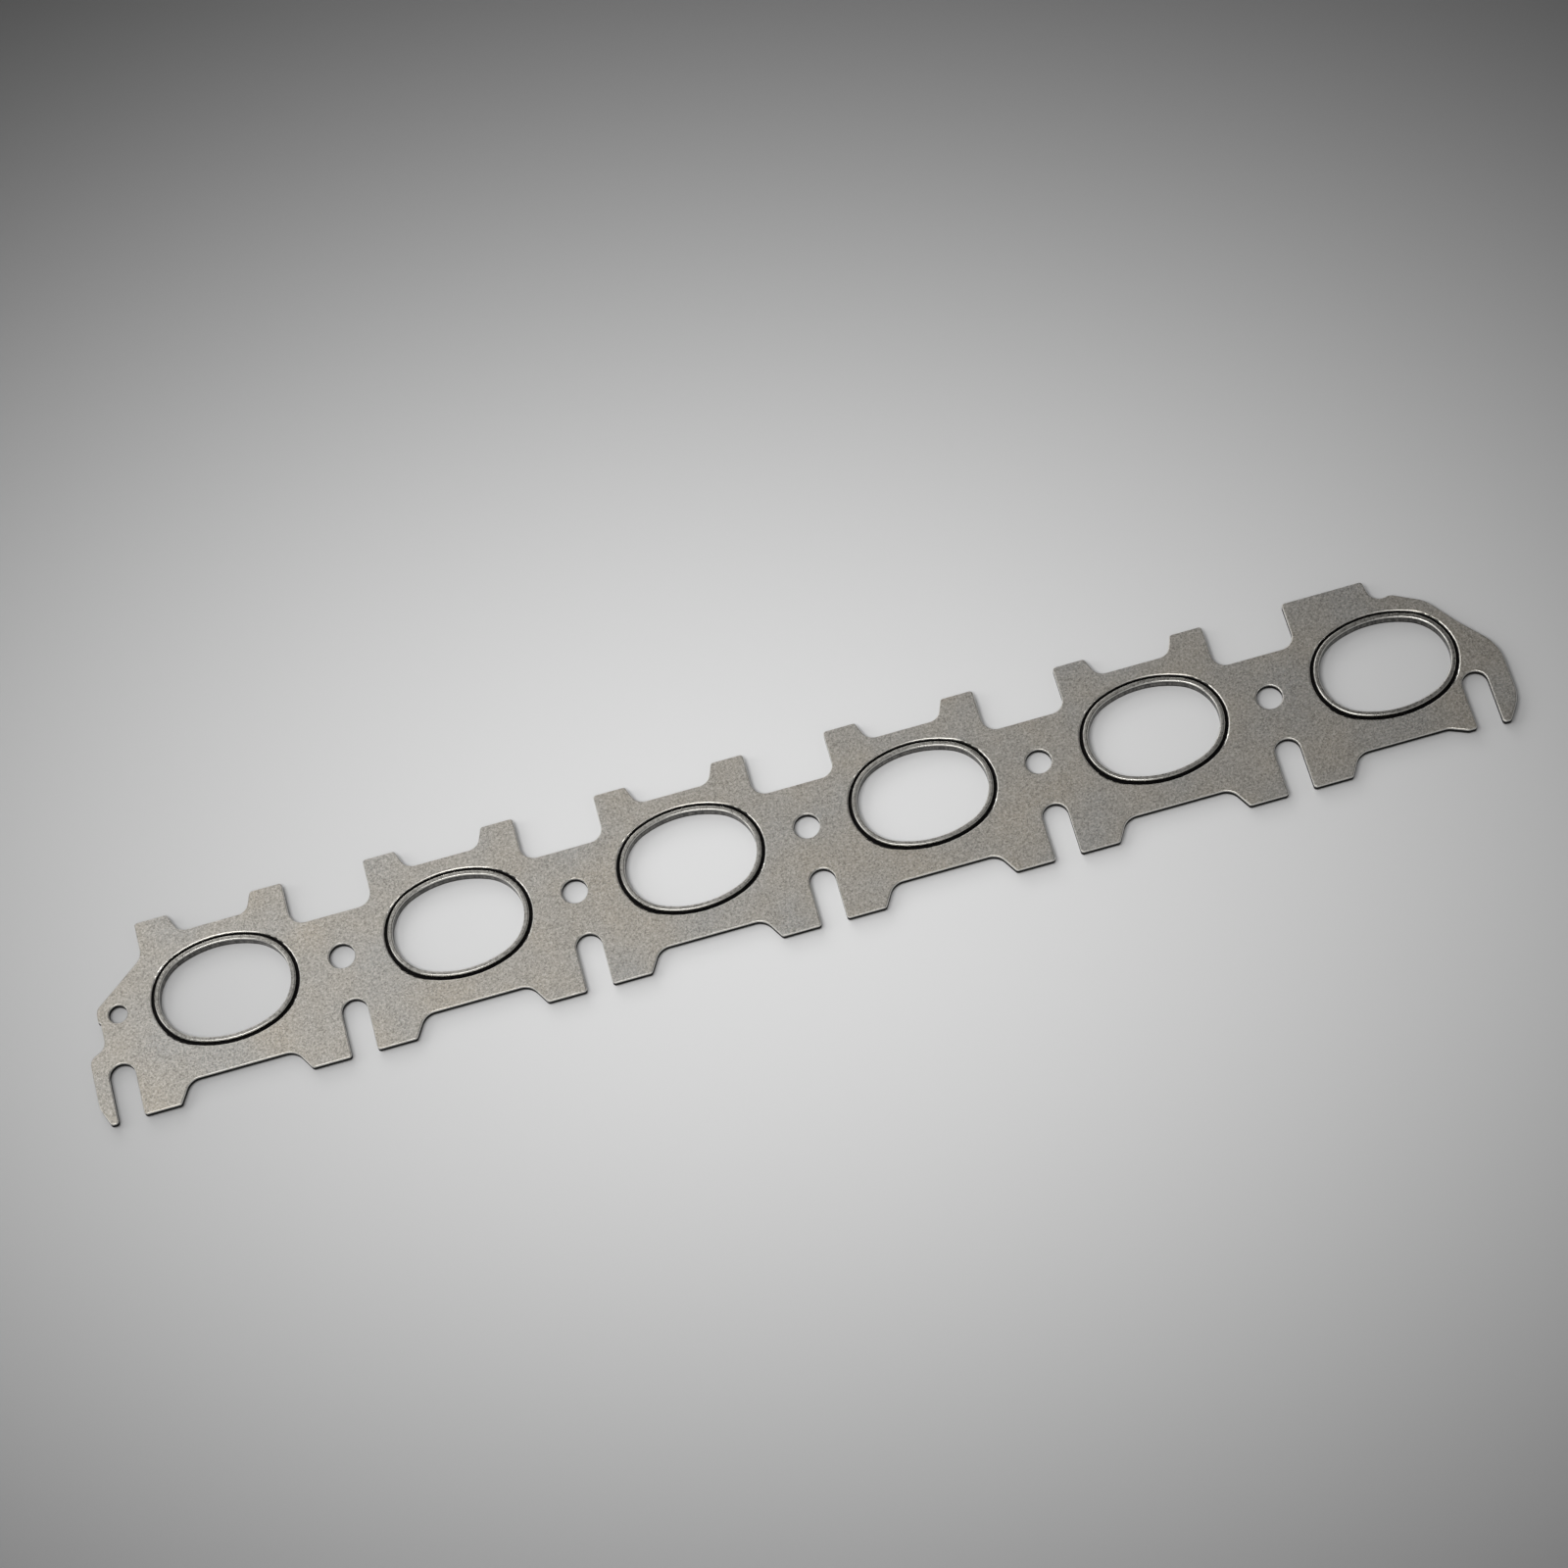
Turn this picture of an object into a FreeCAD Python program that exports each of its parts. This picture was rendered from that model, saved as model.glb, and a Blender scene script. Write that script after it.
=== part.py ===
# Exhaust manifold gasket for an inline six: one pressed steel plate and six port rings.
# Millimetres. +Z is up, +X runs along the row of ports, +Y points to the edge with the paired tabs.
# The gasket lies flat. The origin is under the middle of its outline, on the surface it lies on.
import FreeCAD
import Part
import math
import os

from FreeCAD import Vector

# Port row
port_count = 6
port_pitch = 91.0

# Plate stock and how far the rings stand proud of each face
plate_thickness = 3.2
ring_proud = 0.7
edge_round = 0.5

# Port opening in the full thickness of the plate: a four-arc oval, whose end arcs are
# tucked in from a true half circle
opening_half_length = 28.4
opening_half_height = 22.2
opening_end_tuck = 1.6
opening_edge_round = 0.7

# Coined lip that carries the ring, seen as the dark groove around it
groove_width = 1.2
lip_thickness = 0.9
lip_reach = 1.1

# Port ring
ring_width = 1.9
ring_crown_round = 0.6
seat_clearance = 0.05

# Holes
stud_hole_diameter = 10.0
locating_hole_diameter = 7.2
locating_hole_from_port = 41.5
locating_hole_above_row = 1.7

# Slots open to the lower edge
slot_width = 10.0
slot_top_below_row = 18.5
slot_mouth_round = 1.2
left_slot_from_port = 44.6
right_slot_from_opening = 1.7
right_slot_top_below_row = 12.4

# Tabs and recesses along the upper edge
tab_top_above_row = 36.5
tab_outer_from_port = 29.6
tab_inner_from_port = 17.0
tab_side_lean = 20.0
tab_corner_round = 1.3
tab_root_round = 5.5
upper_recess_above_row = 28.4
upper_recess_round = 5.0
valley_above_row = 17.9
end_tab_outer_from_port = 28.5
end_tab_inner_from_port = 15.6
wide_tab_inner_from_port = 2.4

# Feet and recesses along the lower edge
foot_below_row = 41.2
foot_inner_from_port = 25.4
foot_side_lean = 30.0
foot_corner_round = 1.3
lower_recess_below_row = 32.5
lower_recess_round = 6.5

# Left end: slanted shoulder, boss at the locating hole, hook beside the slot
left_slant_angle = 38.4
left_root_above_row = 22.1
left_root_round = 6.0
boss_wall = 4.4
boss_round = 4.5
nick_above_row = 0.5
nick_depth = 0.8
nick_round = 0.5
left_neck_below_row = 10.6
left_neck_round = 5.0
left_hook_width = 6.0
left_hook_shoulder_below_row = 13.6
left_hook_shoulder_round = 4.5
left_hook_tip_below_row = 41.8
left_hook_belly_below_row = 34.0
left_hook_belly_round = 9.0
left_hook_tip_width = 2.9
left_hook_tip_round = 1.35

# Right end: curved shoulder, short foot, hook beside the slot
right_step_run = 1.4
right_step_above_row = 26.6
right_step_round = 5.0
right_knuckle_from_port = 11.1
right_knuckle_above_row = 28.0
right_knuckle_round = 4.0
right_shoulder_from_port = 23.2
right_shoulder_above_row = 21.6
right_shoulder_round = 14.0
right_waist_from_port = 31.6
right_waist_above_row = 9.9
right_waist_round = 40.0
right_hook_width = 8.7
right_hook_top_below_row = 4.4
right_hook_top_round = 18.0
right_hook_belly_below_row = 27.5
right_hook_belly_round = 16.0
right_hook_tip_below_row = 36.2
right_hook_tip_width = 3.0
right_hook_tip_round = 1.3
right_foot_below_row = 35.6
right_foot_width = 3.4
right_foot_round = 3.0
right_recess_end_from_port = 14.6

# Points nearer than this are one point
touch_tolerance = 0.001

os.makedirs("parts", exist_ok=True)

ring_height = plate_thickness + 2.0 * ring_proud
plate_bottom = ring_proud
plate_top = plate_bottom + plate_thickness
plate_middle = plate_bottom + plate_thickness / 2.0


def port_x(index):
    return (index - (port_count - 1) / 2.0) * port_pitch


def lean_run(rise, lean):
    return rise * math.tan(math.radians(lean))


# Wire of straight sides and tangent arcs from corners given as (x, y, rounding radius)
def rounded_wire(corners, z):
    edges = []
    starts = []
    ends = []
    for i, (x, y, radius) in enumerate(corners):
        here = Vector(x, y, z)
        before = Vector(corners[i - 1][0], corners[i - 1][1], z) - here
        after_corner = corners[(i + 1) % len(corners)]
        after = Vector(after_corner[0], after_corner[1], z) - here
        turn = before.getAngle(after)
        setback = radius / math.tan(turn / 2.0)
        before.normalize()
        after.normalize()
        first = here + before * setback
        last = here + after * setback
        bisector = before + after
        bisector.normalize()
        centre = here + bisector * (radius / math.sin(turn / 2.0))
        middle = centre - bisector * radius
        edges.append(Part.Arc(first, middle, last).toShape())
        starts.append(first)
        ends.append(last)
    sides = []
    for i, last in enumerate(ends):
        sides.append(edges[i])
        following = starts[(i + 1) % len(starts)]
        if last.distanceToPoint(following) > touch_tolerance:
            sides.append(Part.LineSegment(last, following).toShape())
    return Part.Wire(sides)


# Oval of two end arcs and two flank arcs, inset from the plate's port opening
def oval_wire(centre_x, inset, z):
    a = opening_half_length - inset
    b = opening_half_height - inset
    r = opening_half_height - opening_end_tuck - inset
    end_centre = a - r
    flank_radius = (end_centre * end_centre + b * b - r * r) / (2.0 * (b - r))
    flank_centre = flank_radius - b
    reach = math.hypot(end_centre, flank_centre)
    joint_x = end_centre + r * end_centre / reach
    joint_y = r * flank_centre / reach
    corners = [
        Vector(centre_x + joint_x, joint_y, z),
        Vector(centre_x - joint_x, joint_y, z),
        Vector(centre_x - joint_x, -joint_y, z),
        Vector(centre_x + joint_x, -joint_y, z),
    ]
    crests = [
        Vector(centre_x, b, z),
        Vector(centre_x - a, 0.0, z),
        Vector(centre_x, -b, z),
        Vector(centre_x + a, 0.0, z),
    ]
    arcs = []
    for i, crest in enumerate(crests):
        arcs.append(Part.Arc(corners[i], crest, corners[(i + 1) % 4]).toShape())
    return Part.Wire(arcs)


def oval_solid(centre_x, inset, bottom, top):
    face = Part.Face(oval_wire(centre_x, inset, bottom))
    return face.extrude(Vector(0, 0, top - bottom))


def round_hole(x, y, diameter):
    return Part.makeCylinder(diameter / 2.0, plate_thickness, Vector(x, y, plate_bottom), Vector(0, 0, 1))


# Upper edge, from the left end to the right
def upper_corners():
    side_run = lean_run(tab_top_above_row - upper_recess_above_row, tab_side_lean)
    recess_half = tab_inner_from_port - side_run
    corners = []
    for index in range(port_count):
        c = port_x(index)
        first = index == 0
        last = index == port_count - 1
        if not first:
            corners.append((c - tab_outer_from_port, valley_above_row, tab_root_round))
            corners.append((c - tab_outer_from_port, tab_top_above_row, tab_corner_round))
        else:
            corners.append((c - end_tab_outer_from_port, left_root_above_row, left_root_round))
            corners.append((c - end_tab_outer_from_port, tab_top_above_row, tab_corner_round))
        if last:
            corners.append((c + wide_tab_inner_from_port, tab_top_above_row, tab_corner_round))
        else:
            inner = end_tab_inner_from_port if first else tab_inner_from_port
            corners.append((c - inner, tab_top_above_row, tab_corner_round))
            corners.append((c - inner + side_run, upper_recess_above_row, upper_recess_round))
            corners.append((c + recess_half, upper_recess_above_row, upper_recess_round))
            corners.append((c + tab_inner_from_port, tab_top_above_row, tab_corner_round))
            corners.append((c + tab_outer_from_port, tab_top_above_row, tab_corner_round))
            corners.append((c + tab_outer_from_port, valley_above_row, tab_root_round))
    return corners


# Right end, from the wide tab down to the foot beside the last slot
def right_end_corners():
    c = port_x(port_count - 1)
    slot_left = c + opening_half_length + right_slot_from_opening - slot_width / 2.0
    slot_right = slot_left + slot_width
    hook_right = slot_right + right_hook_width
    slot_top = -right_slot_top_below_row
    slot_round = slot_width / 2.0
    step_x = c + wide_tab_inner_from_port + right_step_run
    foot_rise = right_foot_below_row - lower_recess_below_row
    return [
        (step_x, right_step_above_row, right_step_round),
        (c + right_knuckle_from_port, right_knuckle_above_row, right_knuckle_round),
        (c + right_shoulder_from_port, right_shoulder_above_row, right_shoulder_round),
        (c + right_waist_from_port, right_waist_above_row, right_waist_round),
        (hook_right, -right_hook_top_below_row, right_hook_top_round),
        (hook_right, -right_hook_belly_below_row, right_hook_belly_round),
        (slot_right + right_hook_tip_width, -right_hook_tip_below_row, right_hook_tip_round),
        (slot_right, -right_hook_tip_below_row, right_hook_tip_round),
        (slot_right, slot_top, slot_round),
        (slot_left, slot_top, slot_round),
        (slot_left, -right_foot_below_row, slot_mouth_round),
        (slot_left - right_foot_width, -right_foot_below_row, right_foot_round),
        (c + right_recess_end_from_port, foot_rise - right_foot_below_row, lower_recess_round),
    ]


# Lower edge, from the right end back to the left: recess, foot, slot, foot and so on
def lower_corners():
    side_run = lean_run(foot_below_row - lower_recess_below_row, foot_side_lean)
    recess_half = foot_inner_from_port - side_run
    slot_round = slot_width / 2.0
    corners = []
    for index in reversed(range(port_count)):
        c = port_x(index)
        if index < port_count - 1:
            slot_left = c + port_pitch / 2.0 - slot_width / 2.0
            slot_right = slot_left + slot_width
            corners.append((slot_right, -foot_below_row, slot_mouth_round))
            corners.append((slot_right, -slot_top_below_row, slot_round))
            corners.append((slot_left, -slot_top_below_row, slot_round))
            corners.append((slot_left, -foot_below_row, slot_mouth_round))
            corners.append((c + foot_inner_from_port, -foot_below_row, foot_corner_round))
            corners.append((c + recess_half, -lower_recess_below_row, lower_recess_round))
        corners.append((c - recess_half, -lower_recess_below_row, lower_recess_round))
        corners.append((c - foot_inner_from_port, -foot_below_row, foot_corner_round))
    return corners


# Left end, from the foot beside the first slot up to the slanted shoulder
def left_end_corners():
    c = port_x(0)
    slot_right = c - left_slot_from_port + slot_width / 2.0
    slot_left = slot_right - slot_width
    slot_round = slot_width / 2.0
    hook_left = slot_left - left_hook_width
    boss_left = c - locating_hole_from_port - locating_hole_diameter / 2.0 - boss_wall
    root_x = c - end_tab_outer_from_port
    slant_fall = lean_run(root_x - boss_left, left_slant_angle)
    return [
        (slot_right, -foot_below_row, slot_mouth_round),
        (slot_right, -slot_top_below_row, slot_round),
        (slot_left, -slot_top_below_row, slot_round),
        (slot_left, -left_hook_tip_below_row, left_hook_tip_round),
        (slot_left - left_hook_tip_width, -left_hook_tip_below_row, left_hook_tip_round),
        (hook_left, -left_hook_belly_below_row, left_hook_belly_round),
        (hook_left, -left_hook_shoulder_below_row, left_hook_shoulder_round),
        (boss_left + nick_depth, -left_neck_below_row, left_neck_round),
        (boss_left + nick_depth, nick_above_row - nick_depth, nick_round),
        (boss_left, nick_above_row, nick_round),
        (boss_left, left_root_above_row - slant_fall, boss_round),
    ]


# One pressed plate: outline, holes, slots, port openings with coined lips, rounded edges
def make_plate():
    corners = upper_corners() + right_end_corners() + lower_corners() + left_end_corners()
    blank = Part.Face(rounded_wire(corners, plate_bottom)).extrude(Vector(0, 0, plate_thickness))
    cuts = [round_hole(port_x(0) - locating_hole_from_port, locating_hole_above_row, locating_hole_diameter)]
    for index in range(port_count - 1):
        cuts.append(round_hole(port_x(index) + port_pitch / 2.0, 0.0, stud_hole_diameter))
    for index in range(port_count):
        cuts.append(oval_solid(port_x(index), 0.0, plate_bottom, plate_top))
    plate = blank.cut(cuts)
    outer = [edge for edge in plate.Edges if is_flat(edge) and not is_opening_rim(edge)]
    plate = plate.makeFillet(edge_round, outer)
    rims = [edge for edge in plate.Edges if is_opening_rim(edge)]
    plate = plate.makeFillet(opening_edge_round, rims)
    lips = [make_lip(port_x(index)) for index in range(port_count)]
    return plate.fuse(lips).removeSplitter()


def is_flat(edge):
    return edge.BoundBox.ZLength < touch_tolerance


# True for an edge that runs round a port opening on one face of the plate
def is_opening_rim(edge):
    box = edge.BoundBox
    for index in range(port_count):
        reach_x = max(box.XMax - port_x(index), port_x(index) - box.XMin)
        reach_y = max(box.YMax, -box.YMin)
        inside_x = reach_x < opening_half_length + touch_tolerance
        inside_y = reach_y < opening_half_height + touch_tolerance
        if inside_x and inside_y:
            return is_flat(edge)
    return False


# Thin lip left standing into the port opening where the plate is coined from both faces
def make_lip(centre_x):
    bottom = plate_middle - lip_thickness / 2.0
    top = plate_middle + lip_thickness / 2.0
    body = oval_solid(centre_x, 0.0, bottom, top)
    bore = oval_solid(centre_x, groove_width + lip_reach, bottom, top)
    return body.cut(bore)


# Formed steel ring, crowned on both faces, with a groove around it that grips the lip
def make_ring(centre_x):
    body = oval_solid(centre_x, groove_width, 0.0, ring_height)
    bore = oval_solid(centre_x, groove_width + ring_width, 0.0, ring_height)
    ring = body.cut(bore)
    crowns = [edge for edge in ring.Edges if is_flat(edge)]
    ring = ring.makeFillet(ring_crown_round, crowns)
    slot_bottom = plate_middle - lip_thickness / 2.0 - seat_clearance
    slot_top = plate_middle + lip_thickness / 2.0 + seat_clearance
    slot_body = oval_solid(centre_x, 0.0, slot_bottom, slot_top)
    slot_core = oval_solid(centre_x, groove_width + lip_reach + seat_clearance, slot_bottom, slot_top)
    return ring.cut(slot_body.cut(slot_core))


plate = make_plate()
rings = [make_ring(port_x(index)) for index in range(port_count)]

# Move the whole gasket so that the origin lies under the middle of its outline
box = plate.optimalBoundingBox()
shift = Vector(-box.Center.x, -box.Center.y, 0.0)
plate.translate(shift)
plate.exportStep("parts/gasket_plate.step")
print("plate", plate.isValid(), len(plate.Solids), round(plate.Volume, 1), plate.BoundBox)
for number, ring in enumerate(rings, 1):
    ring.translate(shift)
    ring.exportStep("parts/port_ring_%d.step" % number)
print("ring", rings[0].isValid(), len(rings[0].Solids), round(rings[0].Volume, 1), "shift", shift)
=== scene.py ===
import math

import bpy
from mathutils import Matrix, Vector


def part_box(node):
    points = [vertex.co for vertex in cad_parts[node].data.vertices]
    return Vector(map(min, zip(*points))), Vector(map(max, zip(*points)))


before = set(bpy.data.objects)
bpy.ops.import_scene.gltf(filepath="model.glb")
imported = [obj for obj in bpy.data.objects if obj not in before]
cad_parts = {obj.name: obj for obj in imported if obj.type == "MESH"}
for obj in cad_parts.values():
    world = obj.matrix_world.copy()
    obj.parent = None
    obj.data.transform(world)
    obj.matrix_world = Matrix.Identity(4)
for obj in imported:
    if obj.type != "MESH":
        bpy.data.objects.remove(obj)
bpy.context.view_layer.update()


# Helpers: colours, node trees and pattern scales
# A material is a small node tree on a shader; every pattern scale comes from a real size in mm.
def srgb(code):
    channels = [int(code[i:i + 2], 16) / 255 for i in (0, 2, 4)]
    linear = [c / 12.92 if c <= 0.04045 else ((c + 0.055) / 1.055) ** 2.4 for c in channels]
    return (*linear, 1.0)


def grey(value):
    return (value, value, value, 1.0)


def per_mm(size):
    return 1000.0 / size


def new_material(name):
    material = bpy.data.materials.new(name)
    material.use_nodes = True
    shader = material.node_tree.nodes["Principled BSDF"]
    return material, material.node_tree, shader


def add(tree, kind, settings=None, inputs=None):
    node = tree.nodes.new(kind)
    for key, value in (settings or {}).items():
        setattr(node, key, value)
    for key, value in (inputs or {}).items():
        if isinstance(value, bpy.types.NodeSocket):
            tree.links.new(value, node.inputs[key])
        else:
            node.inputs[key].default_value = value
    return node


def noise(tree, place, size_mm, detail, roughness):
    inputs = {"Vector": place, "Scale": per_mm(size_mm), "Detail": detail, "Roughness": roughness}
    return add(tree, "ShaderNodeTexNoise", None, inputs).outputs["Fac"]


def remap(tree, value, low, high, to_low=0.0, to_high=1.0):
    inputs = {"Value": value, "From Min": low, "From Max": high, "To Min": to_low, "To Max": to_high}
    return add(tree, "ShaderNodeMapRange", None, inputs).outputs["Result"]


def math_node(tree, operation, first, second=0.0):
    return add(tree, "ShaderNodeMath", {"operation": operation}, {0: first, 1: second}).outputs[0]


def blend(tree, factor, first, second):
    settings = {"data_type": "RGBA", "blend_type": "MIX"}
    inputs = {"Factor": factor, 6: first, 7: second}
    return add(tree, "ShaderNodeMix", settings, inputs).outputs[2]


def bumped(tree, height, distance_mm, strength, before=None):
    inputs = {"Height": height, "Distance": distance_mm / 1000.0, "Strength": strength}
    if before is not None:
        inputs["Normal"] = before
    return add(tree, "ShaderNodeBump", None, inputs).outputs["Normal"]


# Sizes of the gasket, in metres: heights are read from the parts, and the edge radius, the depth of
# the painted highlight on it and the bands of painted shade at the ends of the bore wall are stated
# here.
plate_low, plate_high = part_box("gasket_plate")
ring_low, ring_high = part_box("port_ring_1")
middle_z = (plate_low[2] + plate_high[2]) / 2.0
plate_half = (plate_high[2] - plate_low[2]) / 2.0
ring_half = (ring_high[2] - ring_low[2]) / 2.0
edge_round = 0.0005
painted_highlight_depth = 0.00012
change_height = 0.0001
wall_band_start = 0.0009
wall_band_end = 0.0013


def height_from_middle(tree, place):
    z = add(tree, "ShaderNodeSeparateXYZ", None, {"Vector": place}).outputs["Z"]
    offset = math_node(tree, "SUBTRACT", z, middle_z)
    return math_node(tree, "ABSOLUTE", offset)


# How far the surface faces up or down, from 0 on a wall to 1 on a flat face
def uprightness(tree):
    normal = add(tree, "ShaderNodeTexCoord").outputs["Normal"]
    up = add(tree, "ShaderNodeSeparateXYZ", None, {"Vector": normal}).outputs["Z"]
    return math_node(tree, "ABSOLUTE", up)


# 1 on everything nearer the middle than the given height, else 0, with a short change between
def below(tree, place, height):
    away = height_from_middle(tree, place)
    return remap(tree, away, height - change_height, height + change_height, 1.0, 0.0)


# Plate steel: cold-rolled sheet, satin, with a fine grain and a faint mottle of handling.
# The faces are warm grey, the rounded edges carry a painted highlight, and the cut sides and
# the coined grooves round the ports are near black with painted shade.
def plate_steel():
    material, tree, shader = new_material("cold_rolled_steel_satin")
    place = add(tree, "ShaderNodeTexCoord").outputs["Object"]
    grain = noise(tree, place, 1.0, 3.0, 0.7)
    speckle = noise(tree, place, 0.6, 2.0, 0.7)
    mottle = noise(tree, place, 7.0, 4.0, 0.65)
    cloud = noise(tree, place, 30.0, 3.0, 0.5)
    # Painted highlight mask: the rounded top edges, from just under the face down to the cut side
    painted_highlight = below(tree, place, plate_half - painted_highlight_depth)
    # Mask for the cut sides and groove walls below the rounded edge, which get painted shade
    side = below(tree, place, plate_half - edge_round)

    face = blend(tree, remap(tree, cloud, 0.35, 0.65), srgb("8f8e8b"), srgb("979187"))
    face = blend(tree, remap(tree, mottle, 0.4, 0.66, 0.0, 0.3), face, srgb("7b7871"))
    face = blend(tree, remap(tree, grain, 0.44, 0.62, 0.0, 0.6), face, srgb("b8b4ad"))
    face = blend(tree, remap(tree, speckle, 0.5, 0.66, 0.0, 0.7), face, srgb("5f5c56"))
    # Painted highlight: a near-white band on the rounded top edges
    face = blend(tree, painted_highlight, face, srgb("f2f0ea"))
    # Painted shade: the cut sides and groove walls are near black
    colour = blend(tree, side, face, srgb("141313"))

    dull = remap(tree, grain, 0.35, 0.65, 0.36, 0.48)
    dull = blend(tree, painted_highlight, dull, grey(0.25))
    dull = blend(tree, side, dull, grey(0.6))

    rough = bumped(tree, grain, 0.03, 0.5)
    rough = bumped(tree, mottle, 0.06, 0.3, rough)
    tree.links.new(colour, shader.inputs["Base Color"])
    tree.links.new(dull, shader.inputs["Roughness"])
    tree.links.new(rough, shader.inputs["Normal"])
    shader.inputs["Metallic"].default_value = 1.0
    return material


# Ring steel: stainless strip formed round the lip of each port.
# The crown is satin with a painted highlight on its rounded edges; the bore wall is painted darker
# than the crown as shade, near black with painted shade above and below a paler band.
def ring_steel():
    material, tree, shader = new_material("stainless_strip_formed")
    place = add(tree, "ShaderNodeTexCoord").outputs["Object"]
    grain = noise(tree, place, 1.2, 3.0, 0.6)
    pull_upright = {"Vector": place, "Scale": (1.0, 1.0, 0.12)}
    stretched = add(tree, "ShaderNodeMapping", None, pull_upright).outputs["Vector"]
    streak = noise(tree, stretched, 1.2, 2.0, 0.5)
    # Painted highlight mask: where the crown's rounded edges turn from flat toward upright
    painted_highlight = remap(tree, uprightness(tree), 0.75, 0.97, 1.0, 0.0)
    # Painted shade mask: 1 near the top and bottom of the bore wall
    painted_shade_ends = remap(tree, height_from_middle(tree, place), wall_band_start, wall_band_end)
    side = below(tree, place, ring_half - edge_round)

    crown = blend(tree, remap(tree, grain, 0.4, 0.62), srgb("6f6d69"), srgb("8d8b86"))
    # Painted highlight: pale colour on the crown's rounded edges
    crown = blend(tree, painted_highlight, crown, srgb("dcdad4"))
    # Painted shade: the bore wall is darker than the crown and near black at its top and bottom; its
    # streaks are the strip's own
    wall = blend(tree, remap(tree, streak, 0.35, 0.65), srgb("3d3c3a"), srgb("73716d"))
    wall = blend(tree, painted_shade_ends, wall, srgb("161515"))

    tree.links.new(blend(tree, side, crown, wall), shader.inputs["Base Color"])
    tree.links.new(remap(tree, grain, 0.3, 0.7, 0.24, 0.36), shader.inputs["Roughness"])
    tree.links.new(bumped(tree, grain, 0.02, 0.3), shader.inputs["Normal"])
    shader.inputs["Metallic"].default_value = 1.0
    return material


plate_material = plate_steel()
ring_material = ring_steel()
for name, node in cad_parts.items():
    material = plate_material if name == "gasket_plate" else ring_material
    for slot in node.material_slots:
        slot.material = material


# Floor: a plain pale sheet with a painted pool of light: its colour is lightest round the gasket and
# falls off to a mid grey.
# The painted fall-off is in its own colour, so it puts no light on the gasket. It is wider along the
# camera's width than along its depth, and turned with the camera.
floor_size = 6.0
fall_off_width = 0.43
fall_off_depth = 0.325
fall_off_turn = -14.7


def matt_paper():
    material, tree, shader = new_material("matt_paper_floor")
    place = add(tree, "ShaderNodeTexCoord").outputs["Object"]
    spread = {
        "Vector": place,
        "Rotation": (0.0, 0.0, math.radians(fall_off_turn)),
        "Scale": (fall_off_width, fall_off_depth, 1.0),
    }
    across = add(tree, "ShaderNodeMapping", {"vector_type": "TEXTURE"}, spread).outputs["Vector"]
    away = add(tree, "ShaderNodeVectorMath", {"operation": "LENGTH"}, {0: across}).outputs["Value"]
    squared = math_node(tree, "MULTIPLY", away, away)
    painted_light_pool = math_node(tree, "EXPONENT", math_node(tree, "MULTIPLY", squared, -1.0))
    # Painted pool of light: the floor colour is lightest round the gasket and darkens outward
    tree.links.new(blend(tree, painted_light_pool, srgb("000000"), srgb("cecece")), shader.inputs["Base Color"])
    shader.inputs["Roughness"].default_value = 0.9
    shader.inputs["Specular IOR Level"].default_value = 0.1
    return material


bpy.ops.mesh.primitive_plane_add(size=floor_size, location=(0.0, 0.0, 0.0))
floor = bpy.context.object
floor.name = "floor"
floor.data.materials.append(matt_paper())


# Light: four soft boxes aimed at the gasket, in front of it, over it, behind it and to its left,
# and a dim room
def soft_box(name, position, width, depth, power):
    data = bpy.data.lights.new(name, "AREA")
    data.shape = "RECTANGLE"
    data.size = width
    data.size_y = depth
    data.energy = power
    lamp = bpy.data.objects.new(name, data)
    bpy.context.collection.objects.link(lamp)
    x, y, z = position
    turn = math.atan2(-y, -x) - math.pi / 2.0
    tilt = math.atan2(math.hypot(x, y), z)
    lamp.location = position
    lamp.rotation_euler = (tilt, 0.0, turn)


soft_box("front", (-0.4, -0.5, 1.6), 1.0, 0.5, 20.0)
soft_box("over", (-0.45, 0.8, 1.6), 1.6, 1.2, 7.0)
soft_box("back", (-0.5, 1.7, 1.0), 1.6, 0.7, 10.0)
soft_box("left", (-1.7, 0.3, 1.1), 0.7, 1.2, 8.0)

world = bpy.data.worlds.new("dim_room")
bpy.context.scene.world = world
world.use_nodes = True
room = world.node_tree.nodes["Background"]
room.inputs["Color"].default_value = srgb("c8c8c8")
room.inputs["Strength"].default_value = 0.35


# Camera: long lens, looking down on the gasket from its slotted edge, rolled as in the photograph
camera_place = (-0.0407, -0.7441, 1.5892)
camera_angles = (25.28, 5.498, -14.665)
camera_data = bpy.data.cameras.new("camera")
camera_data.sensor_width = 36.0
camera_data.lens = 106.5
camera_data.clip_end = 20.0
camera = bpy.data.objects.new("camera", camera_data)
camera.location = camera_place
camera.rotation_euler = [math.radians(angle) for angle in camera_angles]
bpy.context.collection.objects.link(camera)
bpy.context.scene.camera = camera
bpy.context.scene.view_settings.view_transform = "Standard"
